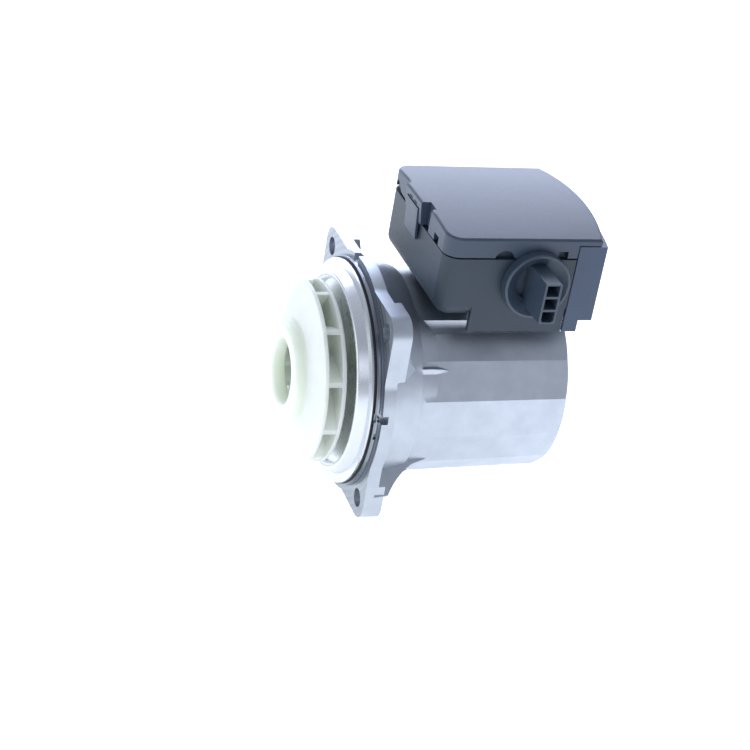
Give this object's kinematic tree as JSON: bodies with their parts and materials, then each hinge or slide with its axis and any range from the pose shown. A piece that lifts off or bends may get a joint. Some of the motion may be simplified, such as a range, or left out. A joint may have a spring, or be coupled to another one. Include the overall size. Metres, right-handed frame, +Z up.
{
  "type": "circulator pump motor head",
  "caption": "Wet-rotor circulator pump motor head with lugged flange, closed impeller and a control box with an opening lid.",
  "frame": {"origin": "centre of the flange face that meets the pump casing, on the shaft axis", "axes": "-X along the shaft out of the impeller, +Z up through the control box, -Y to the side with the mains socket"},
  "size_m": [0.1046, 0.09, 0.1128],
  "materials": {
    "cast_aluminium": "die-cast, fine satin",
    "pressed_stainless": "deep-drawn, bright",
    "bearing_ceramic": "ground ceramic",
    "seal_rubber": "moulded EPDM, matt",
    "spring_steel": "bright wire",
    "lamination_steel": "stacked laminations",
    "winding_copper": "enamelled copper wire",
    "winding_frame_plastic": "moulded PBT, natural",
    "tinned_contact": "tin plated",
    "turned_brass": "turned",
    "slate_plastic": "moulded, fine spark-eroded grain",
    "zinc_screw": "zinc plated",
    "board_laminate": "solder resist",
    "choke_ferrite": "ferrite with enamelled wire",
    "capacitor_sleeve": "shrink sleeve",
    "film_capacitor_case": "epoxy filled case",
    "transformer_case": "varnished",
    "fuse_glass_ceramic": "ceramic tube with plated caps",
    "chip_plastic": "moulded epoxy",
    "thermal_silicone": "filled silicone",
    "socket_plastic": "moulded, smooth",
    "impeller_plastic": "moulded, slightly translucent",
    "shaft_ceramic": "ground ceramic, ivory",
    "magnet_ferrite": "sintered",
    "carbon_ring": "pressed carbon"
  },
  "bodies": {
    "motor": {"stator_housing": "cast_aluminium", "bearing_plate": "pressed_stainless", "front_bearing": "bearing_ceramic", "rotor_can": "pressed_stainless", "rear_bearing": "bearing_ceramic", "can_seal": "seal_rubber", "casing_gasket": "seal_rubber", "plate_retaining_ring": "spring_steel", "stator_core": "lamination_steel", "stator_coils": "winding_copper", "front_winding_frame": "winding_frame_plastic", "rear_winding_frame": "winding_frame_plastic", "winding_pins": "tinned_contact", "vent_plug": "turned_brass", "vent_plug_seal": "seal_rubber", "control_box_base": "slate_plastic", "box_seal": "seal_rubber", "box_screws": "zinc_screw", "circuit_board": "board_laminate", "board_screws": "zinc_screw", "filter_choke": "choke_ferrite", "bulk_capacitor": "capacitor_sleeve", "film_capacitor": "film_capacitor_case", "transformer": "transformer_case", "fuse": "fuse_glass_ceramic", "power_module": "chip_plastic", "thermal_pad": "thermal_silicone", "earth_strap": "tinned_contact", "mains_socket": "socket_plastic", "socket_pins": "tinned_contact", "rear_cover": "slate_plastic"},
    "rotor": {"impeller": "impeller_plastic", "impeller_lock_cone": "bearing_ceramic", "rotor_shaft": "shaft_ceramic", "magnet_rotor": "magnet_ferrite", "rotor_sleeve": "pressed_stainless", "thrust_ring": "carbon_ring", "thrust_ring_seat": "seal_rubber"},
    "lid": {"box_lid": "slate_plastic"},
    "latch": {"lid_latch": "slate_plastic"}
  },
  "joints": [
    {"name": "rotor_spin", "type": "hinge", "parent": "motor", "child": "rotor", "pos_m": [0, 0, 0], "axis": [1, 0, 0], "continuous": true},
    {"name": "lid_tilt", "type": "hinge", "parent": "motor", "child": "lid", "pos_m": [0.0792, 0, 0.0652], "axis": [0, 1, 0], "range_deg": [0, 60]},
    {"name": "latch_flex", "type": "hinge", "parent": "lid", "child": "latch", "pos_m": [0.0166, 0, 0.0652], "axis": [0, 1, 0], "range_deg": [0, 8], "stiffness_Nm_per_rad": 0.3}
  ]
}
